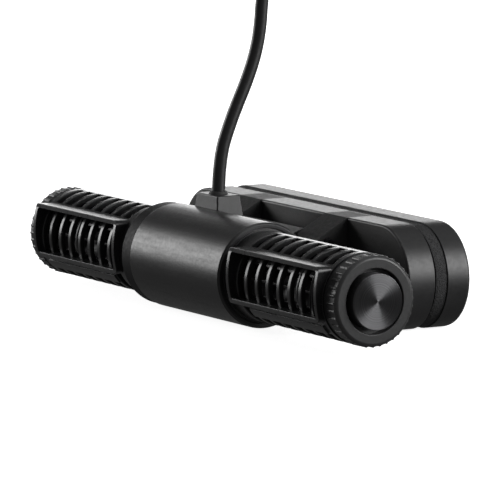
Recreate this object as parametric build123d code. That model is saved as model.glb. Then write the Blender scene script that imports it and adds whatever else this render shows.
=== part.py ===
from build123d import *
import math
import os

# Wave maker pump: a central motor drives a cross-flow rotor on each side, each in
# its own slotted cage, and a pair of magnet housings holds the pump to the glass.
# All shapes are made about the pump axis (Y = Z = 0, along X), with the magnets
# behind it towards +Y, and are moved to the standing origin when they are written.

# ---- driving dimensions, millimetres and degrees ---------------------------------
MOTOR_R = 23.5
MOTOR_HALF = 44.5            # half the motor's length, end face to end face
MOTOR_WALL = 2.3
COVER_LENGTH = 9.3           # the separate cover on the motor's left end
COVER_R = 23.2
LIP = 0.8                    # bevel round the motor's ends
END_WALL = 3.0               # thickness of the motor's end walls
COVER_BORE = 19.0
SEAL_BORE = 19.9
SEAL_WIDTH = 1.4
SPIGOT_R = 17.4              # the ring that a cage turns on
SPIGOT_BORE = 16.3
SPIGOT_LENGTH = 5.5
STACK_HALF = 30.0            # half the stator's length
STACK_R = 20.9
STACK_BORE = 17.6
TOOTH = (6.6, 5.0)           # a stator tooth's depth and width
WINDING = (66.0, 4.4, 10.4)  # one coil's length, depth and width
TEETH = 6
BOARD = 1.6

CAGE_R = 20.0
CAGE_BORE = 17.8
CAGE_START = MOTOR_HALF + 0.3
COLLAR_END = 55.0
CAGE_END = 128.0
END_RING = 3.0
RIB_COUNT = 7
RIB_FIRST = 62.3
RIB_PITCH = 9.27
RIB_WIDTH = 2.6
RIB_EASE = 0.3               # the rings' outer corners are taken off by this much

DUCT_LEFT = 51.0
DUCT_RIGHT = 128.2
DUCT_HEIGHT = 24.8
DUCT_MIDDLE = 2.8            # the outlet sits this much above the pump axis
DUCT_WALL = 2.0
DUCT_FRONT = 23.3            # how far the outlet reaches in front of the pump axis
DUCT_FACE_R = 38.0           # the outlet's ends bulge forward on this radius
DUCT_FLARE = 3.0             # the outlet's walls spread by this angle towards the front
PLATE_R = 20.8
PLATE = (213, 226)           # the raised plate under the outlet, as angles from +Y
# the openings between one lengthwise bar and the next, as angles from +Y
CAGE_GAPS = [(36, 76), (90, 131), (137, 202), (228, 270), (278, 330), (338, 388)]

CAP_START = 128.3
CAP_R = 19.7
KNURL_COUNT = 36
KNURL_TOOTH = 0.8
KNURL_TIP_R = 20.15
KNURL_START = 131.6
KNURL_END = 137.4
CAP_FACE = 138.5
CAP_FACE_R = 18.2
CAP_FLOOR = 134.0            # the bottom of the groove round the disc
GROOVE_R = 14.3
DISC_R = 12.3
DISC_FACE = 141.0

SHAFT_R = 2.0
RUNNING = 0.05               # radial play of a running shaft
ROTOR_R = 16.2
ROTOR_START = 51.5
ROTOR_END = 124.0
BLADE_COUNT = 14
WELL_BORE = 10.0
WELL_R = 11.0
WELL_FLOOR = 3.0
MAGNET_R = 9.2
MAGNET_START = 10.0
MAGNET_END = 40.0
BUSH_OUT = 3.8               # outside radius of the bushes the shaft runs in
BUSH_LENGTH = 4.0
HUB_R = 3.4
RIM_BORE = 10.8              # the ring at the rotor's outer end
BLADE_IN = 11.4
BLADE_THICK = 1.1
BLADE_LEAN = 20.0

HOUSING_HALF = 100.0         # half the length of a magnet housing
HOUSING_R = MOTOR_R          # round ends, so motor and housings stand level
HOUSING_WALL = 3.2
WET_FRONT = 40.6
WET_BACK = 54.0
PAD_PLAY = 0.2
WET_PAD = 1.2
DRY_PAD_BACK = 60.8
DRY_BACK = 72.8
COVER_PLATE = 1.8
BLOCK_SIZE = (34.0, 30.0)    # a magnet block's length and height
BLOCK_PLACES = (-57, -19, 19, 57)
WET_BLOCKS = (43.6, 51.6)    # front and back of the magnets in each housing
DRY_BLOCKS = (62.7, 70.3)

PIVOT_Y = 30.5
PIVOT_Z = 12.0
ARM_END_R = 5.0
ARM_IN = 28.2
ARM_OUT = 47.5
STRAP = 2.4
SADDLE_HALF = 27.2
PIVOT_R = 1.95
BUSH_R = 3.0
SCREW_START = 15.0           # how near the middle the pivot screws reach

GLAND_X = -15.5
GLAND_Y = 11.0
GLAND_TOP = 29.3
GLAND_TOP_SIZE = (18.6, 11.6)
GLAND_FOOT = 14.5            # the height its foot is drawn from, inside the motor
GLAND_FOOT_SIZE = (23.4, 15.0)
CORD_R = 3.0
GROMMET_R = 4.4
GROMMET_DEPTH = 3.0

FLOOR = -MOTOR_R             # the surface the pump stands on
COIL_X = 92.0
COIL_Y = 145.0
COIL_TURN_OUT = 39.0         # middle of the outermost turn
COIL_TURN_IN = 23.3          # middle of the innermost turn
COIL_LIFT = 0.8              # the tie's thickness, under the coil
PLUG_R = 7.6
NUT_R = 9.8
NUT_BORE = 6.1
NUT_LENGTH = 12.0
NUT_START = 32.2             # from the end of the tail
BOOT_LENGTH = 14.0
PLUG_LENGTH = 18.0
TIE_WIDTH = 8.0
TAIL = 25.0                  # from the coil to the connector

# Where the pump axis lies from the origin, which is the bottom centre of the pump.
PUMP_Y = -(DRY_BACK - MOTOR_R) / 2
PUMP_Z = MOTOR_R

pieces = {}


# ---- helpers ---------------------------------------------------------------------
def lathe(*outline):
    """A turned solid about the pump axis, from (x, radius) points."""
    return revolve(make_face(Polyline(*outline, close=True)), axis=Axis.X)


def tube(x0, x1, r_out, r_in):
    return lathe((x0, r_in), (x1, r_in), (x1, r_out), (x0, r_out))


def rod(x0, x1, radius, y=0.0, z=0.0):
    """A plain round bar along X."""
    return Pos((x0 + x1) / 2, y, z) * Rot(0, 90, 0) * Cylinder(radius, x1 - x0)


def sector(x0, x1, r_out, r_in, start, stop):
    """Part of a tube, from one angle about the axis to another, 0 being +Y."""
    band = Polyline((x0, r_in), (x1, r_in), (x1, r_out), (x0, r_out), close=True)
    return Rot(start, 0, 0) * revolve(make_face(band), axis=Axis.X, revolution_arc=stop - start)


def block(x0, x1, y0, y1, z0, z1):
    size = Box(x1 - x0, y1 - y0, z1 - z0)
    return Pos((x0 + x1) / 2, (y0 + y1) / 2, (z0 + z1) / 2) * size


def stadium(y0, y1, inset=0.0):
    """The magnet housings' outline, from y0 to y1."""
    outline = SlotOverall(2 * (HOUSING_HALF - inset), 2 * (HOUSING_R - inset))
    return extrude(Plane.XZ.offset(-y1) * outline, amount=y1 - y0)


def both_sides(name, shape):
    """The piece on the right, and its mirror image on the left."""
    pieces["right_" + name] = shape
    pieces["left_" + name] = mirror(shape, about=Plane.YZ)


# ---- motor -----------------------------------------------------------------------
def spigot(x0):
    """The short ring on the motor's end that a cage turns on."""
    return tube(x0, MOTOR_HALF + SPIGOT_LENGTH, SPIGOT_R, SPIGOT_BORE)


def make_motor():
    joint = MOTOR_HALF - COVER_LENGTH
    inner = MOTOR_R - MOTOR_WALL
    end = MOTOR_HALF
    end_wall = end - END_WALL
    shell = lathe(
        (-joint, inner), (-joint, MOTOR_R), (end - LIP, MOTOR_R), (end, MOTOR_R - LIP),
        (end, 21.3), (end - 0.6, 21.1), (end - 0.6, 20.6), (end, 20.4),
        (end, WELL_R), (end_wall, WELL_R), (end_wall, inner),
    )
    pieces["motor_shell"] = shell + spigot(end - 0.5)

    cover = lathe(
        (joint, COVER_BORE), (joint, COVER_R - 0.4), (joint + 0.4, COVER_R), (end - 1.2, COVER_R),
        (end, COVER_R - 1.2), (end, WELL_R), (end_wall, WELL_R), (end_wall, COVER_BORE),
    )
    groove = (joint - 1.2 - SEAL_WIDTH, joint - 1.2)
    plug = tube(joint - 4.0, joint + 0.5, inner, COVER_BORE) - tube(*groove, MOTOR_R, SEAL_BORE)
    pieces["motor_end_cover"] = mirror(cover + plug + spigot(end - 0.5), about=Plane.YZ)
    pieces["end_cover_seal"] = mirror(tube(*groove, inner, SEAL_BORE), about=Plane.YZ)


def make_stator():
    depth, width = TOOTH
    at = STACK_BORE + 0.2 - depth / 2
    tooth = Pos(0, at, 0) * Box(2 * STACK_HALF, depth, width)
    core_hole = Box(2 * STACK_HALF + 0.2, depth, width + 0.2)
    coil = Pos(0, at - 0.1, 0) * (Box(*WINDING) - core_hole)
    turns = [Rot(360 * k / TEETH, 0, 0) for k in range(TEETH)]
    core = tube(-STACK_HALF, STACK_HALF, STACK_R, STACK_BORE)
    for turn in turns:
        core += turn * tooth
    pieces["stator_core"] = core
    pieces["stator_windings"] = Part() + [turn * coil for turn in turns]
    pieces["hall_sensor_board"] = rod(-BOARD / 2, BOARD / 2, WELL_R - 0.6)


def make_gland():
    top = Pos(GLAND_X, GLAND_Y, GLAND_TOP) * Rectangle(*GLAND_TOP_SIZE)
    bottom = Pos(GLAND_X, GLAND_Y, GLAND_FOOT) * Rectangle(*GLAND_FOOT_SIZE)
    gland = loft([bottom.face(), top.face()])
    gland = fillet(gland.edges().filter_by(lambda e: e.center().Z > GLAND_FOOT + 1.5), 0.6)
    gland -= rod(-MOTOR_HALF, MOTOR_HALF, MOTOR_R)
    seat = Pos(GLAND_X, GLAND_Y, GLAND_TOP) * Cylinder(GROMMET_R, 2 * GROMMET_DEPTH)
    pieces["cable_gland"] = gland - seat
    grommet = Pos(0, 0, -GROMMET_DEPTH / 2) * Cylinder(GROMMET_R, GROMMET_DEPTH)
    grommet += Pos(0, 0, 0.6) * Cone(GROMMET_R, GROMMET_R - 0.7, 1.2)
    grommet -= Cylinder(CORD_R, 8.0)
    pieces["cable_grommet"] = Pos(GLAND_X, GLAND_Y, GLAND_TOP) * grommet


def make_saddle():
    """The block behind the motor that the mount's arms are screwed to."""
    low = MOTOR_R - 0.1
    seat = [(low * cosd(a), low * sind(a)) for a in (0, 12, 24, 35)]
    edges = Circle(ARM_END_R).edge().moved(Location((PIVOT_Y, PIVOT_Z, 0)))
    outline = make_hull([edges] + Polyline(*seat).edges())
    body = extrude(Plane.YZ.offset(-SADDLE_HALF) * outline, amount=2 * SADDLE_HALF)
    body -= rod(-MOTOR_HALF, MOTOR_HALF, MOTOR_R)
    holes = rod(-MOTOR_HALF, MOTOR_HALF, PIVOT_R, PIVOT_Y, PIVOT_Z)
    body -= holes - rod(-SCREW_START, SCREW_START, HOUSING_R, PIVOT_Y, PIVOT_Z)
    pieces["motor_saddle"] = body


def cosd(angle):
    return math.cos(math.radians(angle))


def sind(angle):
    return math.sin(math.radians(angle))


# ---- rotor, cage and cap, made on the right and mirrored -------------------------
def make_rotor():
    well = tube(WELL_FLOOR, MOTOR_HALF - 0.1, WELL_R, WELL_BORE)
    well += rod(WELL_FLOOR, WELL_FLOOR + 1.5, WELL_R)
    bush_start = WELL_FLOOR + 1.5
    bush_end = bush_start + BUSH_LENGTH
    well += tube(bush_start, bush_end, BUSH_OUT + 1.4, BUSH_OUT)
    both_sides("rotor_well", well)
    both_sides("well_bush", tube(bush_start, bush_end, BUSH_OUT, SHAFT_R + RUNNING))
    both_sides("shaft", rod(WELL_FLOOR + 2.0, 130.3, SHAFT_R))
    both_sides("rotor_magnet", tube(MAGNET_START, MAGNET_END, MAGNET_R, SHAFT_R))

    blade_out = ROTOR_R - 0.3
    middle = (BLADE_IN + blade_out) / 2
    arc = ThreePointArc(
        (BLADE_IN, 0),
        (middle * cosd(BLADE_LEAN * 0.75), middle * sind(BLADE_LEAN * 0.75)),
        (blade_out * cosd(BLADE_LEAN), blade_out * sind(BLADE_LEAN)),
    )
    span = ROTOR_END - ROTOR_START
    blade = extrude(Plane.YZ.offset(ROTOR_START) * trace(arc, BLADE_THICK), amount=span)
    drum = tube(MAGNET_END + 0.2, ROTOR_START, 6.0, SHAFT_R)
    drum += tube(ROTOR_START, ROTOR_END, HUB_R, SHAFT_R)
    drum += tube(ROTOR_START, ROTOR_START + 2.0, ROTOR_R, SHAFT_R)
    drum += tube(ROTOR_END - 1.6, ROTOR_END, ROTOR_R, RIM_BORE)
    drum += tube(ROTOR_END - 1.6, ROTOR_END, RIM_BORE + 0.1, SHAFT_R)
    for share in (1 / 3, 2 / 3):
        at = ROTOR_START + share * span
        drum += tube(at - 0.6, at + 0.6, ROTOR_R, SHAFT_R)
    drum += [Rot(360 * k / BLADE_COUNT, 0, 0) * blade for k in range(BLADE_COUNT)]
    both_sides("impeller", drum)


def slot(x0, x1, start, stop):
    """The cutter for one gap between two rings of the cage, with its mouth eased."""
    low = CAGE_BORE - 1.0
    high = PLATE_R + 1.0
    ease = CAGE_R - RIB_EASE
    outline = Polyline(
        (x0, low), (x0, ease), (x0 - RIB_EASE, CAGE_R), (x0 - RIB_EASE, high),
        (x1 + RIB_EASE, high), (x1 + RIB_EASE, CAGE_R), (x1, ease), (x1, low), close=True,
    )
    cutter = revolve(make_face(outline), axis=Axis.X, revolution_arc=stop - start)
    return Rot(start, 0, 0) * cutter


def make_cage():
    # between the slots run a bar on top, one above the outlet, a wide one with a
    # raised plate below it, and three more underneath and behind
    edges = [COLLAR_END]
    for k in range(RIB_COUNT):
        middle = RIB_FIRST + k * RIB_PITCH
        edges += [middle - RIB_WIDTH / 2, middle + RIB_WIDTH / 2]
    edges += [CAGE_END - END_RING]
    cage = tube(CAGE_START, CAGE_END, CAGE_R, CAGE_BORE)
    plate_start = RIB_FIRST - RIB_WIDTH / 2
    cage += sector(plate_start, CAGE_END - END_RING - 1.0, PLATE_R, CAGE_BORE + 1, *PLATE)
    for x0, x1 in zip(edges[0::2], edges[1::2]):
        cage -= [slot(x0, x1, start, stop) for start, stop in CAGE_GAPS]
    # below the outlet the first slot is open right across, as the plate starts after it
    cage -= slot(*edges[:2], CAGE_GAPS[2][1] - 2, CAGE_GAPS[3][0] + 2)
    both_sides("flow_cage", cage)

    # the outlet's top and bottom edges are cut square, and its ends bulge forward
    length = DUCT_RIGHT - DUCT_LEFT
    half_mouth = DUCT_HEIGHT / 2 - DUCT_WALL
    edge = DUCT_FRONT - (DUCT_FACE_R - math.sqrt(DUCT_FACE_R ** 2 - half_mouth ** 2))
    outer = RectangleRounded(length, DUCT_HEIGHT, 2.6)
    inner = RectangleRounded(length - 2 * DUCT_WALL, 2 * half_mouth, 1.4)
    front = Plane.XZ.offset(DUCT_FRONT) * Pos((DUCT_LEFT + DUCT_RIGHT) / 2, DUCT_MIDDLE)
    walls = [extrude(front * shape, amount=-DUCT_FRONT, taper=DUCT_FLARE) for shape in (outer, inner)]
    duct = walls[0] - walls[1]
    high = DUCT_MIDDLE + half_mouth
    low = DUCT_MIDDLE - half_mouth
    tall = DUCT_HEIGHT
    profile = Polyline(
        (-edge, high), (-edge, tall), (0, tall), (0, -tall), (-edge, -tall), (-edge, low),
    )
    profile += ThreePointArc((-edge, low), (-DUCT_FRONT, DUCT_MIDDLE), (-edge, high))
    duct = duct & extrude(Plane.YZ.offset(DUCT_LEFT - 10) * make_face(profile), amount=length + 20)
    duct -= rod(DUCT_LEFT - 10, DUCT_RIGHT + 10, CAGE_R)
    both_sides("outlet_duct", duct)


def make_cap():
    back = CAGE_END - 2.6
    hub = CAGE_END - 1.4
    web = CAP_FLOOR - 3.0
    ring = lathe(
        (back, 16.4), (back, 17.5), (CAP_START, 17.5), (CAP_START, CAP_R - 0.3),
        (KNURL_START - 0.3, CAP_R - 0.3), (KNURL_START, CAP_R), (KNURL_END, CAP_R),
        (CAP_FACE - 0.3, CAP_FACE_R + 0.6), (CAP_FACE, CAP_FACE_R), (CAP_FACE, GROOVE_R + 0.3),
        (CAP_FACE - 0.3, GROOVE_R), (CAP_FLOOR, GROOVE_R), (CAP_FLOOR, BUSH_OUT), (hub, BUSH_OUT),
        (hub, 5.4), (web, 5.4), (web, 16.4),
    )
    ring += rod(web, CAP_FLOOR, 4.0)
    teeth = PolarLocations(KNURL_TIP_R - KNURL_TOOTH, KNURL_COUNT) * Circle(KNURL_TOOTH)
    knurl = Circle(CAP_R) + teeth - Circle(CAP_R - 1.0)
    ring += extrude(Plane.YZ.offset(KNURL_START) * knurl, amount=KNURL_END - KNURL_START - 0.2)
    both_sides("end_cap", ring)
    both_sides("cap_bush", tube(hub, web - 0.2, BUSH_OUT, SHAFT_R + RUNNING))
    both_sides("cap_disc", lathe(
        (CAP_FLOOR, 0), (CAP_FLOOR, DISC_R), (DISC_FACE - 0.3, DISC_R),
        (DISC_FACE, DISC_R - 0.3), (DISC_FACE, 0),
    ))


# ---- magnet mount ----------------------------------------------------------------
def magnets(y0, y1):
    length, height = BLOCK_SIZE
    one = block(-length / 2, length / 2, y0, y1, -height / 2, height / 2)
    return Part() + [Pos(x, 0, 0) * one for x in BLOCK_PLACES]


def make_mount():
    wet = stadium(WET_FRONT, WET_BACK) - stadium(WET_FRONT + 2.4, WET_BACK, HOUSING_WALL)
    wet = fillet(wet.edges().group_by(Axis.Y)[0], 0.9)
    for side in (1, -1):
        x0, x1 = sorted((side * ARM_IN, side * ARM_OUT))
        wet -= block(x0, x1, WET_FRONT - 1, WET_BACK - 0.6, HOUSING_R - STRAP, HOUSING_R + 1)
    pieces["wet_housing"] = wet
    pieces["wet_cover"] = stadium(WET_BACK - COVER_PLATE, WET_BACK, HOUSING_WALL)
    pieces["wet_magnets"] = magnets(*WET_BLOCKS)
    pieces["wet_pad"] = stadium(WET_BACK, WET_BACK + WET_PAD, 2.6)

    dry = stadium(DRY_PAD_BACK, DRY_BACK) - stadium(DRY_PAD_BACK, DRY_BACK - 2.4, HOUSING_WALL)
    dry = fillet(dry.edges().group_by(Axis.Y)[-1], 2.2)
    pieces["dry_housing"] = dry
    pieces["dry_cover"] = stadium(DRY_PAD_BACK, DRY_PAD_BACK + COVER_PLATE, HOUSING_WALL)
    pieces["dry_magnets"] = magnets(*DRY_BLOCKS)
    pieces["dry_pad"] = stadium(WET_BACK + WET_PAD + PAD_PLAY, DRY_PAD_BACK, 1.0)

    end = Circle(ARM_END_R).edge().moved(Location((PIVOT_Y, PIVOT_Z, 0)))
    back = Polyline((WET_FRONT, 0), (WET_FRONT, HOUSING_R)).edges()
    outline = Plane.YZ.offset(ARM_IN) * make_hull([end] + back)
    arm = extrude(outline, amount=ARM_OUT - ARM_IN)
    arm += block(ARM_IN, ARM_OUT, WET_FRONT, WET_BACK - 0.6, HOUSING_R - STRAP, HOUSING_R)
    arm -= rod(ARM_IN - 1, ARM_OUT + 1, BUSH_R, PIVOT_Y, PIVOT_Z)
    both_sides("arm", arm)

    bore = PIVOT_R + RUNNING
    bush = rod(SADDLE_HALF + 0.1, ARM_OUT - 0.1, BUSH_R, PIVOT_Y, PIVOT_Z)
    bush += rod(SADDLE_HALF + 0.1, ARM_IN, ARM_END_R - 0.6, PIVOT_Y, PIVOT_Z)
    bush -= rod(SADDLE_HALF - 1, ARM_OUT + 1, bore, PIVOT_Y, PIVOT_Z)
    pieces["pivot_bushes"] = Part() + [bush, mirror(bush, about=Plane.YZ)]

    head = rod(ARM_OUT + 0.1, ARM_OUT + 1.9, 2.9, PIVOT_Y, PIVOT_Z)
    bar = block(ARM_OUT + 1.1, ARM_OUT + 3, PIVOT_Y - 2.0, PIVOT_Y + 2.0, PIVOT_Z - 0.4, PIVOT_Z + 0.4)
    cross = block(ARM_OUT + 1.1, ARM_OUT + 3, PIVOT_Y - 0.4, PIVOT_Y + 0.4, PIVOT_Z - 2.0, PIVOT_Z + 2.0)
    screw = rod(SCREW_START, ARM_OUT + 0.5, PIVOT_R, PIVOT_Y, PIVOT_Z) + head - bar - cross
    pieces["pivot_screws"] = Part() + [screw, mirror(screw, about=Plane.YZ)]


# ---- cord ------------------------------------------------------------------------
# The lead rises from the gland, arches over behind the pump and lies down on the
# surface, where the rest of it is wound into a coil.
REST = FLOOR + CORD_R
COIL_LOW = REST + COIL_LIFT
CORD_ROUTE = [
    (GLAND_X, GLAND_Y, GLAND_TOP - GROMMET_DEPTH),
    (GLAND_X, 11.2, 44.5),
    (GLAND_X, 17.5, 62.5),
    (GLAND_X, 27.5, 83),
    (GLAND_X, 32.6, 100),
    (-15, 33.6, 121),
    (-14, 40, 142),
    (-11, 55, 159),
    (-5, 78, 168),
    (3, 103, 166),
    (12, 124, 153),
    (19, 137, 131),
    (23, 145, 104),
    (24.5, 149.5, 76),
    (25, 152, 49),
    (26.5, 156, 25),
    (31.3, 163.5, 4),
    (40.2, 170.8, -10),
    (52.2, 177.6, -18),
    (66, 182.2, REST),
    (79, COIL_Y + COIL_TURN_OUT, REST + 0.4),
    (COIL_X, COIL_Y + COIL_TURN_OUT + 0.2, COIL_LOW),
]


def corner_radii(route):
    """Each corner's arc: 0.45 of the shorter run over the tangent of half the turn."""
    radii = []
    for before, here, after in zip(route, route[1:], route[2:]):
        arrive = Vector(*here) - Vector(*before)
        leave = Vector(*after) - Vector(*here)
        turn = arrive.get_angle(leave)
        radius = 0.45 * min(arrive.length, leave.length) / math.tan(math.radians(turn / 2))
        radii.append(radius)
        print(f"corner run {leave.length:.1f}, turn {turn:.1f}, radius {radius:.0f}")
    return radii


def make_cord():
    path = FilletPolyline(*CORD_ROUTE, radius=corner_radii(CORD_ROUTE))
    lead = sweep(Plane(origin=path @ 0, z_dir=path % 0) * Circle(CORD_R), path=path)
    section = math.pi * CORD_R ** 2
    print(f"lead {path.length:.0f} long, volume {lead.volume:.0f}, expected {section * path.length:.0f}")
    pieces["power_cable"] = lead

    low = FLOOR + COIL_LIFT
    inner = COIL_TURN_IN - CORD_R
    outer = COIL_TURN_OUT + CORD_R
    thick = 4 * CORD_R
    ring = Cylinder(outer, thick) - Cylinder(inner, thick)
    ring = fillet(ring.edges(), 2.4)
    coil = Pos(COIL_X, COIL_Y, low + thick / 2) * ring
    wide = outer - inner
    bundle = Box(wide + 0.2, TIE_WIDTH, thick)
    band = Box(wide + 0.2 + 2 * COIL_LIFT, TIE_WIDTH, thick + 2 * COIL_LIFT) - bundle
    at = Pos(COIL_X, COIL_Y, low + thick / 2) * Rot(0, 0, 225) * Pos((inner + outer) / 2, 0, 0)
    pieces["coil_tie"] = at * band
    pieces["cable_coil"] = coil

    # the far end leaves the coil along -Y and carries a round screw connector
    tail_x = COIL_X + COIL_TURN_OUT
    height = FLOOR + NUT_R
    tail_end = COIL_Y - TAIL
    along = Rot(90, 0, 0)
    pieces["cable_tail"] = Pos(tail_x, COIL_Y - TAIL / 2, height) * along * Cylinder(CORD_R, TAIL)
    start = Pos(tail_x, tail_end, height) * along
    boot = Cone(CORD_R + 1.2, PLUG_R - 1.2, BOOT_LENGTH)
    plug = Cylinder(PLUG_R, PLUG_LENGTH)
    socket = Cylinder(NUT_BORE - RUNNING, NUT_LENGTH)
    socket_middle = BOOT_LENGTH + PLUG_LENGTH + NUT_LENGTH / 2
    body = start * Pos(0, 0, BOOT_LENGTH / 2) * boot
    body += start * Pos(0, 0, BOOT_LENGTH + PLUG_LENGTH / 2) * plug
    body += start * Pos(0, 0, socket_middle) * socket
    pieces["connector_body"] = body
    grip = Circle(NUT_R - 0.6) + PolarLocations(NUT_R - 0.7, 24) * Circle(0.7)
    grip -= Circle(NUT_BORE)
    nut = extrude(grip, amount=NUT_LENGTH)
    pieces["connector_nut"] = start * Pos(0, 0, NUT_START) * nut


make_motor()
make_stator()
make_gland()
make_saddle()
make_rotor()
make_cage()
make_cap()
make_mount()
make_cord()

os.makedirs("parts", exist_ok=True)
for name, shape in pieces.items():
    export_step(Pos(0, PUMP_Y, PUMP_Z) * shape, f"parts/{name}.step")
print(len(pieces), "pieces")
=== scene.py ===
import math

import bmesh
import bpy
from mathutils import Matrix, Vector
from mathutils import noise as turbulence


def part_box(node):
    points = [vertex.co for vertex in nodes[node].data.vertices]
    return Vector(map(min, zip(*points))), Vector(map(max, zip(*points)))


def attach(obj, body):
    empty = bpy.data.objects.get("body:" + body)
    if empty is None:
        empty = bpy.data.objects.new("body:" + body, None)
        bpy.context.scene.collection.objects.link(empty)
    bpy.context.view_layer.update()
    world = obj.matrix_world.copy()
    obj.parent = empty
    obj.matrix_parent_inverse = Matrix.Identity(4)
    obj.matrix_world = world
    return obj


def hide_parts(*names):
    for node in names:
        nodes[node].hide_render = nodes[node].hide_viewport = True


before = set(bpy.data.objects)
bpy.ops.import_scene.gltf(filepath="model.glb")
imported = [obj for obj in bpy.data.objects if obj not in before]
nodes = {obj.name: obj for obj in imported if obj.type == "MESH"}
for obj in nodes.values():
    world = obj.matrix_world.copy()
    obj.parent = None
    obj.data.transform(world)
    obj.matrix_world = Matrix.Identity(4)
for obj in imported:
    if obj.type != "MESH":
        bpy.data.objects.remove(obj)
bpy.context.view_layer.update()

MM = 0.001
SIDES = ("left", "right")

# The pump's axis runs along X through the middle of the motor shell.
shell_low, shell_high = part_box("motor_shell")
AXIS_Y = (shell_low[1] + shell_high[1]) / 2
AXIS_Z = (shell_low[2] + shell_high[2]) / 2
MOTOR_R = (shell_high[2] - shell_low[2]) / 2
FLOOR = AXIS_Z - MOTOR_R


def spot(x, y, z):
    """A point given in millimetres from the middle of the pump's axis."""
    return Vector((x * MM, AXIS_Y + y * MM, AXIS_Z + z * MM))


# ---- camera ----------------------------------------------------------------------
CAMERA_AZIMUTH = 59.97
CAMERA_ELEVATION = 7.586
CAMERA_PLACE = (2318.4, -1321.7, 361.65)
LENS = 434.2


def make_camera():
    data = bpy.data.cameras.new("camera")
    data.sensor_width = 36.0
    data.lens = LENS
    data.clip_end = 50.0
    camera = bpy.data.objects.new("camera", data)
    bpy.context.scene.collection.objects.link(camera)
    camera.location = spot(*CAMERA_PLACE)
    camera.rotation_euler = (math.radians(90 - CAMERA_ELEVATION), 0, math.radians(CAMERA_AZIMUTH))
    bpy.context.scene.camera = camera


# ---- the lead --------------------------------------------------------------------
CORD_R = 3.0
GLAND_X, GLAND_Y, GLAND_TOP = -15.5, 11.0, 29.3
GROMMET_DEPTH = 3.0
REST = CORD_R - 23.5          # the lead's middle where it lies on the surface
COIL_LIFT = 0.8
COIL_X, COIL_Y = 92.0, 145.0
TURN_OUT = 39.0               # middle of the outermost turn
TURN_IN = 23.3
LAYER_TURNS = 2.5
CROSSING_TURNS = 0.25         # from the lower layer up to the upper one
STEPS = 16                    # route points in each turn of the coil
TAIL = 25.0                   # from the coil to the connector

ROUTE = [
    (GLAND_X, GLAND_Y, GLAND_TOP - GROMMET_DEPTH),
    (GLAND_X, 11.2, 44.5),
    (GLAND_X, 17.5, 62.5),
    (GLAND_X, 27.5, 83),
    (GLAND_X, 32.6, 100),
    (-15, 33.6, 121),
    (-14, 40, 142),
    (-11, 55, 159),
    (-5, 78, 168),
    (3, 103, 166),
    (12, 124, 153),
    (19, 137, 131),
    (23, 145, 104),
    (24.5, 149.5, 76),
    (25, 152, 49),
    (26.5, 156, 25),
    (31.3, 163.5, 4),
    (40.2, 170.8, -10),
    (52.2, 177.6, -18),
    (66, 182.2, REST),
    (79, COIL_Y + TURN_OUT, REST + 0.4),
]


def coil_points():
    """The turns: inwards on the surface, up, and outwards on top, ending on the right."""
    corner_out = 1 / math.cos(math.pi / STEPS) ** 2
    turns = 2 * LAYER_TURNS + CROSSING_TURNS
    low = REST + COIL_LIFT
    for k in range(round(turns * STEPS) + 1):
        turn = k / STEPS
        inward = min(turn, LAYER_TURNS)
        outward = max(0.0, turn - LAYER_TURNS - CROSSING_TURNS)
        climb = min(max((turn - LAYER_TURNS) / CROSSING_TURNS, 0.0), 1.0)
        radius = TURN_OUT - (TURN_OUT - TURN_IN) * (inward - outward) / LAYER_TURNS
        angle = math.pi / 2 - 2 * math.pi * turn
        x = COIL_X + radius * corner_out * math.cos(angle)
        y = COIL_Y + radius * corner_out * math.sin(angle)
        yield (x, y, low + climb * 2 * CORD_R)


TIE_ANGLE = math.radians(225)
TIE_WIDTH = 8.0
TIE_THICK = 0.75
TIE_ROUND = 2.6               # the tie's inner corners, round the cord
BUNDLE_IN, BUNDLE_OUT = 20.1, 38.2    # the turns' reach from the coil's middle, at the tie


def rounded_box(half_wide, half_high, corner, steps=6):
    """Points round a rectangle with round corners, about its own middle."""
    for quarter in range(4):
        wide = (half_wide - corner) * (1 if quarter in (0, 3) else -1)
        high = (half_high - corner) * (1 if quarter < 2 else -1)
        for k in range(steps + 1):
            angle = math.pi / 2 * (quarter + k / steps)
            yield wide + corner * math.cos(angle), high + corner * math.sin(angle)


def make_coil_tie():
    """The strap round the coil, drawn close to the turns where it lies."""
    middle = (BUNDLE_IN + BUNDLE_OUT) / 2
    half_wide = (BUNDLE_OUT - BUNDLE_IN) / 2
    half_high = 2 * CORD_R
    height = REST + COIL_LIFT + CORD_R
    along, across = math.cos(TIE_ANGLE), math.sin(TIE_ANGLE)
    mesh = bmesh.new()
    loops = []
    for thick, side in ((TIE_THICK, -1), (TIE_THICK, 1), (0, 1), (0, -1)):
        loop = []
        for out, up in rounded_box(half_wide + thick, half_high + thick, TIE_ROUND + thick):
            reach = middle + out
            slide = side * TIE_WIDTH / 2
            x = COIL_X + reach * along - slide * across
            y = COIL_Y + reach * across + slide * along
            loop.append(mesh.verts.new(spot(x, y, height + up)))
        loops.append(loop)
    for near, far in zip(loops, loops[1:] + loops[:1]):
        for k in range(len(near)):
            after = (k + 1) % len(near)
            mesh.faces.new((near[k], near[after], far[after], far[k]))
    bmesh.ops.recalc_face_normals(mesh, faces=mesh.faces)
    data = bpy.data.meshes.new("coil_strap")
    mesh.to_mesh(data)
    mesh.free()
    strap = bpy.data.objects.new("coil_strap", data)
    bpy.context.scene.collection.objects.link(strap)
    data.materials.append(MATERIALS["tie"])
    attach(strap, "pump")
    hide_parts("coil_tie")
    return strap


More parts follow.
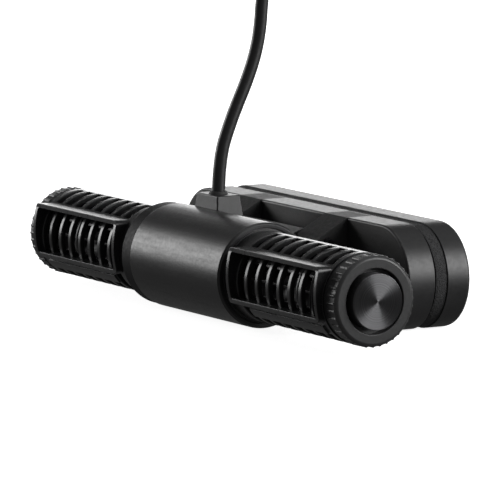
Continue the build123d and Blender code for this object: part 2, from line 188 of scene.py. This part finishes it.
def make_cord():
    strap = make_coil_tie()
    points = ROUTE + list(coil_points())
    top = points[-1][2]
    points += [(COIL_X + TURN_OUT, COIL_Y - 10, top), (COIL_X + TURN_OUT, COIL_Y - TAIL, top)]
    curve = bpy.data.curves.new("lead", "CURVE")
    curve.dimensions = "3D"
    spline = curve.splines.new("NURBS")
    spline.points.add(len(points) - 1)
    for point, place in zip(spline.points, points):
        point.co = (*spot(*place), 1.0)
    spline.order_u = 3
    spline.use_endpoint_u = True
    spline.resolution_u = 10
    curve.bevel_depth = CORD_R * MM
    curve.bevel_resolution = 7
    lead = bpy.data.objects.new("lead", curve)
    bpy.context.scene.collection.objects.link(lead)
    lead.data.materials.append(MATERIALS["cable"])
    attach(lead, "pump")
    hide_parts("power_cable", "cable_coil", "cable_tail")


# ---- materials -------------------------------------------------------------------
def tree_of(name):
    material = bpy.data.materials.new(name)
    material.use_nodes = True
    tree = material.node_tree
    return material, tree, tree.nodes["Principled BSDF"]


def add(tree, kind, **values):
    """A node with its properties and its inputs set by name."""
    node = tree.nodes.new(kind)
    for key, value in values.items():
        if hasattr(node, key):
            setattr(node, key, value)
        else:
            node.inputs[key.replace("_", " ")].default_value = value
    return node


def on_object(tree, stretch=(1, 1, 1), centre=(0, 0, 0)):
    """Object coordinates, measured from a centre and squeezed along each axis."""
    place = tree.nodes.new("ShaderNodeTexCoord").outputs["Object"]
    moved = add(tree, "ShaderNodeVectorMath", operation="SUBTRACT")
    moved.inputs[1].default_value = centre
    scaled = add(tree, "ShaderNodeVectorMath", operation="MULTIPLY")
    scaled.inputs[1].default_value = stretch
    tree.links.new(place, moved.inputs[0])
    tree.links.new(moved.outputs["Vector"], scaled.inputs[0])
    return scaled.outputs["Vector"]


def noise(tree, place, scale, detail=3.0, rough=0.55):
    node = add(tree, "ShaderNodeTexNoise", Scale=scale, Detail=detail, Roughness=rough)
    tree.links.new(place, node.inputs["Vector"])
    return node.outputs["Fac"]


def stripes(tree, place, period_mm, direction, kind="BANDS", wander=0.0):
    """Even stripes or rings with the given distance from one to the next."""
    node = add(tree, "ShaderNodeTexWave", wave_type=kind, Scale=0.314 / (period_mm * MM), Distortion=wander)
    if kind == "BANDS":
        node.bands_direction = direction
    else:
        node.rings_direction = direction
    tree.links.new(place, node.inputs["Vector"])
    return node.outputs["Fac"]


def ramp(tree, value, low, high, out_low, out_high):
    node = add(tree, "ShaderNodeMapRange", clamp=True)
    tree.links.new(value, node.inputs["Value"])
    for key, number in zip(("From Min", "From Max", "To Min", "To Max"), (low, high, out_low, out_high)):
        node.inputs[key].default_value = number
    return node.outputs["Result"]


def total(tree, first, second):
    node = add(tree, "ShaderNodeMath", operation="ADD")
    tree.links.new(first, node.inputs[0])
    tree.links.new(second, node.inputs[1])
    return node.outputs["Value"]


def blended(tree, factor, first, second):
    """A mix of two colours, each a fixed colour or another node's output."""
    node = tree.nodes.new("ShaderNodeMix")
    node.data_type = "RGBA"
    tree.links.new(factor, node.inputs["Factor"])
    for key, colour in (("A", first), ("B", second)):
        if isinstance(colour, bpy.types.NodeSocket):
            tree.links.new(colour, node.inputs[key])
        else:
            node.inputs[key].default_value = (*colour, 1)
    return node.outputs["Result"]


def shaded(colour, share):
    return tuple(part * share for part in colour)


def rounded_edges(tree, radius_mm):
    """A normal that rounds the edges off, and how close to an edge each point is."""
    rounded = add(tree, "ShaderNodeBevel", Radius=radius_mm * MM, samples=6).outputs["Normal"]
    facing = add(tree, "ShaderNodeVectorMath", operation="DOT_PRODUCT")
    tree.links.new(rounded, facing.inputs[0])
    tree.links.new(tree.nodes.new("ShaderNodeNewGeometry").outputs["Normal"], facing.inputs[1])
    return rounded, ramp(tree, facing.outputs["Value"], 0.995, 0.80, 0.0, 1.0)


def relief(tree, shader, height, depth_mm, normal):
    bump = add(tree, "ShaderNodeBump", Strength=1.0, Distance=depth_mm * MM)
    tree.links.new(height, bump.inputs["Height"])
    tree.links.new(normal, bump.inputs["Normal"])
    tree.links.new(bump.outputs["Normal"], shader.inputs["Normal"])


def moulded(name, shade, rough, grain=1800.0, depth=0.006, edge=0.35, edge_wear_and_glint=1.6, gloss=0.5, streaks=0.0):
    """Moulded plastic: clouded tone, fine grain, edges a little rounded and paler, partly wear and partly a
    painted highlight.

    streaks adds faint handling marks along X by changing how rough the surface is.
    """
    material, tree, shader = tree_of(name)
    place = on_object(tree)
    rounded, at_edge = rounded_edges(tree, edge)
    cloud = ramp(tree, noise(tree, place, 35.0), 0.3, 0.7, 0.0, 1.0)
    base = blended(tree, cloud, shaded(shade, 0.85), shaded(shade, 1.2))
    # edges painted paler: partly wear, partly a painted highlight standing in for the light that rounded
    # rims catch
    tree.links.new(blended(tree, at_edge, base, shaded(shade, edge_wear_and_glint)), shader.inputs["Base Color"])
    polish = ramp(tree, noise(tree, place, grain * 0.4, 4.0), 0.3, 0.7, rough * 0.88, rough * 1.14)
    if streaks:
        marks = noise(tree, on_object(tree, stretch=(0.08, 1, 1)), 420.0, 5.0, 0.7)
        polish = total(tree, polish, ramp(tree, marks, 0.45, 0.8, 0.0, streaks))
    tree.links.new(polish, shader.inputs["Roughness"])
    relief(tree, shader, noise(tree, place, grain), depth, rounded)
    shader.inputs["Specular IOR Level"].default_value = gloss
    return material


def metal(name, tint, rough, grain=900.0, depth=0.004, drawn=(1, 1, 1), edge=0.15):
    """Bare or plated metal with fine marks, drawn out along one axis where it was turned or rolled."""
    material, tree, shader = tree_of(name)
    rounded, at_edge = rounded_edges(tree, edge)
    marks = noise(tree, on_object(tree, stretch=drawn), grain, 4.0)
    stain = ramp(tree, noise(tree, on_object(tree), 60.0), 0.3, 0.7, 0.0, 1.0)
    base = blended(tree, stain, shaded(tint, 0.82), tint)
    tree.links.new(blended(tree, at_edge, base, shaded(tint, 1.15)), shader.inputs["Base Color"])
    tree.links.new(ramp(tree, marks, 0.3, 0.7, rough * 0.75, rough * 1.3), shader.inputs["Roughness"])
    relief(tree, shader, marks, depth, rounded)
    shader.inputs["Metallic"].default_value = 1.0
    return material


def turned_disc():
    """The face turned on a lathe: fine rings, and highlights drawn out across them."""
    material, tree, shader = tree_of("turned_disc")
    place = on_object(tree, stretch=(0, 1, 1), centre=(0, AXIS_Y, AXIS_Z))
    radius = add(tree, "ShaderNodeVectorMath", operation="LENGTH")
    tree.links.new(place, radius.inputs[0])
    rings = add(tree, "ShaderNodeTexNoise", noise_dimensions="1D", Scale=1900.0, Detail=6.0, Roughness=0.8)
    tree.links.new(radius.outputs["Value"], rings.inputs["W"])
    tone = ramp(tree, rings.outputs["Fac"], 0.3, 0.7, 0.0, 1.0)
    colour = blended(tree, tone, (0.06, 0.06, 0.062), (0.12, 0.12, 0.124))
    tree.links.new(colour, shader.inputs["Base Color"])
    tree.links.new(ramp(tree, rings.outputs["Fac"], 0.3, 0.7, 0.30, 0.42), shader.inputs["Roughness"])
    rounded, at_edge = rounded_edges(tree, 0.3)
    relief(tree, shader, rings.outputs["Fac"], 0.006, rounded)
    around = add(tree, "ShaderNodeTangent", direction_type="RADIAL", axis="X")
    tree.links.new(around.outputs["Tangent"], shader.inputs["Tangent"])
    shader.inputs["Metallic"].default_value = 1.0
    shader.inputs["Anisotropic"].default_value = 0.92
    shader.inputs["Anisotropic Rotation"].default_value = 0.25
    return material


def foam():
    """Closed-cell foam: pores of many sizes, matt, with painted shade darkening each pore towards its
    hollow middle.
    """
    material, tree, shader = tree_of("foam_black")
    place = on_object(tree)
    cells = add(tree, "ShaderNodeTexVoronoi", Scale=1900.0)
    tree.links.new(place, cells.inputs["Vector"])
    pore = ramp(tree, cells.outputs["Distance"], 0.12, 0.55, 0.0, 1.0)
    # darker where the pore dips: painted shade in the hollows
    colour = blended(tree, pore, (0.008, 0.008, 0.008), (0.034, 0.034, 0.035))
    tree.links.new(colour, shader.inputs["Base Color"])
    normal = tree.nodes.new("ShaderNodeNewGeometry").outputs["Normal"]
    relief(tree, shader, total(tree, pore, noise(tree, place, 900.0)), 0.16, normal)
    tree.links.new(ramp(tree, pore, 0.0, 1.0, 0.95, 0.8), shader.inputs["Roughness"])
    shader.inputs["Specular IOR Level"].default_value = 0.35
    return material


def copper():
    """Enamelled copper wire, wound side by side."""
    material, tree, shader = tree_of("copper_windings")
    place = on_object(tree)
    wires = stripes(tree, place, 0.55, "DIAGONAL", wander=0.4)
    # darker in the grooves between the turns: painted shade
    colour = blended(tree, wires, (0.14, 0.045, 0.016), (0.58, 0.22, 0.085))
    tree.links.new(colour, shader.inputs["Base Color"])
    normal = tree.nodes.new("ShaderNodeNewGeometry").outputs["Normal"]
    relief(tree, shader, wires, 0.15, normal)
    tree.links.new(ramp(tree, noise(tree, place, 300.0), 0.3, 0.7, 0.22, 0.38), shader.inputs["Roughness"])
    shader.inputs["Metallic"].default_value = 0.85
    return material


def laminations():
    """The stator's stack of thin steel sheets, seen edge on, with varnish between them."""
    material, tree, shader = tree_of("steel_laminations")
    place = on_object(tree)
    sheets = stripes(tree, place, 0.5, "X")
    colour = blended(tree, sheets, (0.05, 0.045, 0.04), (0.42, 0.42, 0.43))
    tree.links.new(colour, shader.inputs["Base Color"])
    normal = tree.nodes.new("ShaderNodeNewGeometry").outputs["Normal"]
    relief(tree, shader, sheets, 0.06, normal)
    tree.links.new(ramp(tree, noise(tree, place, 200.0), 0.3, 0.7, 0.3, 0.5), shader.inputs["Roughness"])
    shader.inputs["Metallic"].default_value = 0.9
    return material


def circuit_board():
    """Green lacquer over copper tracks."""
    material, tree, shader = tree_of("circuit_board")
    place = on_object(tree)
    tracks = add(tree, "ShaderNodeTexVoronoi", Scale=420.0, distance="MANHATTAN", feature="F1")
    tree.links.new(place, tracks.inputs["Vector"])
    track = ramp(tree, tracks.outputs["Distance"], 0.32, 0.38, 0.0, 1.0)
    colour = blended(tree, track, (0.004, 0.06, 0.022), (0.012, 0.12, 0.04))
    tree.links.new(colour, shader.inputs["Base Color"])
    normal = tree.nodes.new("ShaderNodeNewGeometry").outputs["Normal"]
    relief(tree, shader, track, 0.05, normal)
    tree.links.new(ramp(tree, noise(tree, place, 500.0), 0.3, 0.7, 0.2, 0.34), shader.inputs["Roughness"])
    return material


def make_materials():
    black = (0.010, 0.010, 0.0105)
    # the worn-edge factor paints edges paler: wear plus a painted edge highlight, strongest on the cage,
    # gland and cap rims
    return {
        "motor": moulded("motor_black", black, 0.35, grain=1600.0, edge_wear_and_glint=3.0, streaks=0.10),
        "cover": moulded("cover_black", (0.005, 0.005, 0.0055), 0.55, depth=0.012, edge_wear_and_glint=3.0, gloss=0.16),
        "gland": moulded(
            "gland_grey", (0.012, 0.012, 0.0125), 0.40, grain=2200.0, depth=0.012, edge_wear_and_glint=5.0, gloss=0.36,
        ),
        "cage": moulded("cage_black", (0.012, 0.012, 0.0125), 0.30, edge_wear_and_glint=6.0),
        "cap": moulded("cap_black", (0.024, 0.024, 0.0245), 0.38, grain=2000.0, edge_wear_and_glint=3.5),
        "impeller": moulded("impeller_grey", (0.030, 0.030, 0.031), 0.4, grain=1500.0),
        "mount": moulded("mount_black", (0.014, 0.014, 0.0145), 0.42, grain=1500.0, depth=0.020),
        "arm": moulded("arm_black", (0.018, 0.018, 0.0185), 0.62, grain=1500.0, depth=0.020, gloss=0.4),
        "cable": moulded("cable_black", (0.010, 0.010, 0.0105), 0.38, grain=1400.0),
        "rubber": moulded("rubber_black", (0.010, 0.010, 0.010), 0.65, depth=0.02),
        "tie": moulded("tie_black", (0.014, 0.014, 0.015), 0.9, grain=1100.0, depth=0.3, gloss=0.2),
        "foam": foam(),
        "disc": turned_disc(),
        "screw": metal("blackened_screw", (0.055, 0.055, 0.06), 0.34),
        "magnet": metal("nickel_plated_magnet", (0.62, 0.60, 0.57), 0.24),
        "core": laminations(),
        "copper": copper(),
        "board": circuit_board(),
        "ceramic": moulded("ceramic_white", (0.78, 0.77, 0.73), 0.18, depth=0.002, edge_wear_and_glint=1.0),
    }


def dress(node, material):
    mesh = nodes[node].data
    mesh.materials.clear()
    mesh.materials.append(MATERIALS[material])


def dress_all():
    plain = {
        "motor_shell": "motor", "motor_saddle": "motor", "motor_end_cover": "cover",
        "cable_gland": "gland", "cable_grommet": "rubber", "pivot_screws": "screw",
        "pivot_bushes": "rubber", "coil_tie": "tie", "connector_body": "gland",
        "connector_nut": "cover", "end_cover_seal": "rubber", "stator_core": "core",
        "stator_windings": "copper", "hall_sensor_board": "board",
        "wet_housing": "mount", "wet_cover": "mount", "dry_housing": "mount", "dry_cover": "mount",
        "left_arm": "arm", "right_arm": "arm", "wet_pad": "rubber",
        "wet_magnets": "magnet", "dry_magnets": "magnet",
    }
    each_side = {
        "flow_cage": "cage", "outlet_duct": "cage", "end_cap": "cap", "cap_disc": "disc",
        "cap_bush": "ceramic", "well_bush": "ceramic", "shaft": "ceramic", "rotor_well": "cover",
        "rotor_magnet": "magnet", "impeller": "impeller",
    }
    for node, material in plain.items():
        dress(node, material)
    for side in SIDES:
        for node, material in each_side.items():
            dress(f"{side}_{node}", material)


# ---- the foam pad ----------------------------------------------------------------
PAD_STEP = 0.75 * MM          # from one point of the pad's outline to the next
PAD_LEVELS = 10               # across its thickness
PAD_PORE = 0.16 * MM          # how deep the cut cells on its side are
PAD_COARSE = 0.9 * MM         # the size of the larger cells
PAD_FINE = 0.4 * MM
PAD_SOFT = 0.15 * MM          # how far its edges are drawn in
PAD_SPREAD = 0.6 * MM         # how much wider it is where it is glued to the housing


def pad_outline(half, radius):
    """Points and outward directions round a slot-shaped outline, in X and Z."""
    straight = 2 * (half - radius)
    turn = math.pi * radius
    count = round(2 * (straight + turn) / PAD_STEP)
    for k in range(count):
        along = k / count * 2 * (straight + turn)
        side = 1 if along < straight + turn else -1
        along -= 0 if side == 1 else straight + turn
        if along < straight:
            yield side * (along - straight / 2), side * radius, 0.0, side
        else:
            angle = math.pi / 2 - (along - straight) / radius
            out_x, out_z = side * math.cos(angle), side * math.sin(angle)
            yield side * straight / 2 + radius * out_x, radius * out_z, out_x, out_z


def make_foam_pad():
    """The pad against the outside of the glass, cut from foam, so its side shows open cells."""
    low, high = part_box("dry_pad")
    half = (high[0] - low[0]) / 2
    radius = (high[2] - low[2]) / 2
    outline = list(pad_outline(half, radius))
    mesh = bmesh.new()
    loops = []
    for level in range(PAD_LEVELS + 1):
        share = level / PAD_LEVELS
        y = low[1] + share * (high[1] - low[1])
        drawn_in = PAD_SOFT * abs(2 * share - 1) ** 4
        loop = []
        for x, z, out_x, out_z in outline:
            at = Vector((x, y, z))
            coarse = max(0.0, turbulence.noise(at / PAD_COARSE))
            fine = max(0.0, turbulence.noise(at / PAD_FINE))
            pore = coarse + 0.5 * fine
            inset = drawn_in + PAD_PORE * pore - PAD_SPREAD * share
            loop.append(mesh.verts.new((x - inset * out_x, y, AXIS_Z + z - inset * out_z)))
        loops.append(loop)
    for near, far in zip(loops, loops[1:]):
        for k in range(len(outline)):
            after = (k + 1) % len(outline)
            mesh.faces.new((near[k], near[after], far[after], far[k]))
    mesh.faces.new(loops[0][::-1])
    mesh.faces.new(loops[-1])
    bmesh.ops.recalc_face_normals(mesh, faces=mesh.faces)
    data = bpy.data.meshes.new("foam_pad")
    mesh.to_mesh(data)
    mesh.free()
    pad = bpy.data.objects.new("foam_pad", data)
    bpy.context.scene.collection.objects.link(pad)
    data.materials.append(MATERIALS["foam"])
    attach(pad, "dry_mount")
    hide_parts("dry_pad")


# ---- floor and light -------------------------------------------------------------
FLOOR_HALF = 12.0             # metres from the pump to the floor's edges


def make_stage():
    half = FLOOR_HALF
    corners = [(-half, -half, FLOOR), (half, -half, FLOOR), (half, half, FLOOR), (-half, half, FLOOR)]
    mesh = bpy.data.meshes.new("floor")
    mesh.from_pydata(corners, [], [(0, 1, 2, 3)])
    floor = bpy.data.objects.new("floor", mesh)
    bpy.context.scene.collection.objects.link(floor)
    material, tree, shader = tree_of("pale_floor")
    shader.inputs["Base Color"].default_value = (0.8, 0.8, 0.8, 1)
    shader.inputs["Roughness"].default_value = 1.0
    shader.inputs["Specular IOR Level"].default_value = 0.0
    shader.inputs["Emission Color"].default_value = (1, 1, 1, 1)
    shader.inputs["Emission Strength"].default_value = 0.9
    mesh.materials.append(material)
    # the pump is lit by the softboxes alone, not from underneath by the white floor
    floor.visible_diffuse = False
    floor.visible_glossy = False

    world = bpy.data.worlds.new("studio")
    bpy.context.scene.world = world
    world.use_nodes = True
    background = world.node_tree.nodes["Background"]
    background.inputs["Color"].default_value = (1, 1, 1, 1)
    background.inputs["Strength"].default_value = 0.13


def softbox(name, azimuth, elevation, half_width, half_height, brightness, distance=1.6):
    """A soft light panel facing the pump. Angles are in degrees, azimuth from +X to +Y."""
    data = bpy.data.lights.new(name, "AREA")
    data.shape = "RECTANGLE"
    data.size = 2 * distance * math.tan(math.radians(half_width))
    data.size_y = 2 * distance * math.tan(math.radians(half_height))
    data.energy = brightness * math.pi * data.size * data.size_y
    light = bpy.data.objects.new(name, data)
    bpy.context.scene.collection.objects.link(light)
    light.visible_camera = False
    flat = math.cos(math.radians(elevation))
    direction = Vector((
        flat * math.cos(math.radians(azimuth)),
        flat * math.sin(math.radians(azimuth)),
        math.sin(math.radians(elevation)),
    ))
    light.location = spot(0, 20, 0) + direction * distance
    light.rotation_euler = direction.to_track_quat("Z", "Y").to_euler()


def make_lights():
    softbox("key", 207, 13, 12, 11, 6.2)
    softbox("rim", 36, 22, 15, 17, 6.6)
    softbox("accent", 54, 14, 8, 9, 12.0)
    softbox("back", 142, 4, 27, 13, 3.8)
    softbox("top", 90, 88, 22, 22, 1.0)


make_camera()
MATERIALS = make_materials()
make_cord()
dress_all()
make_foam_pad()
make_stage()
make_lights()
bpy.context.scene.view_settings.view_transform = "Standard"
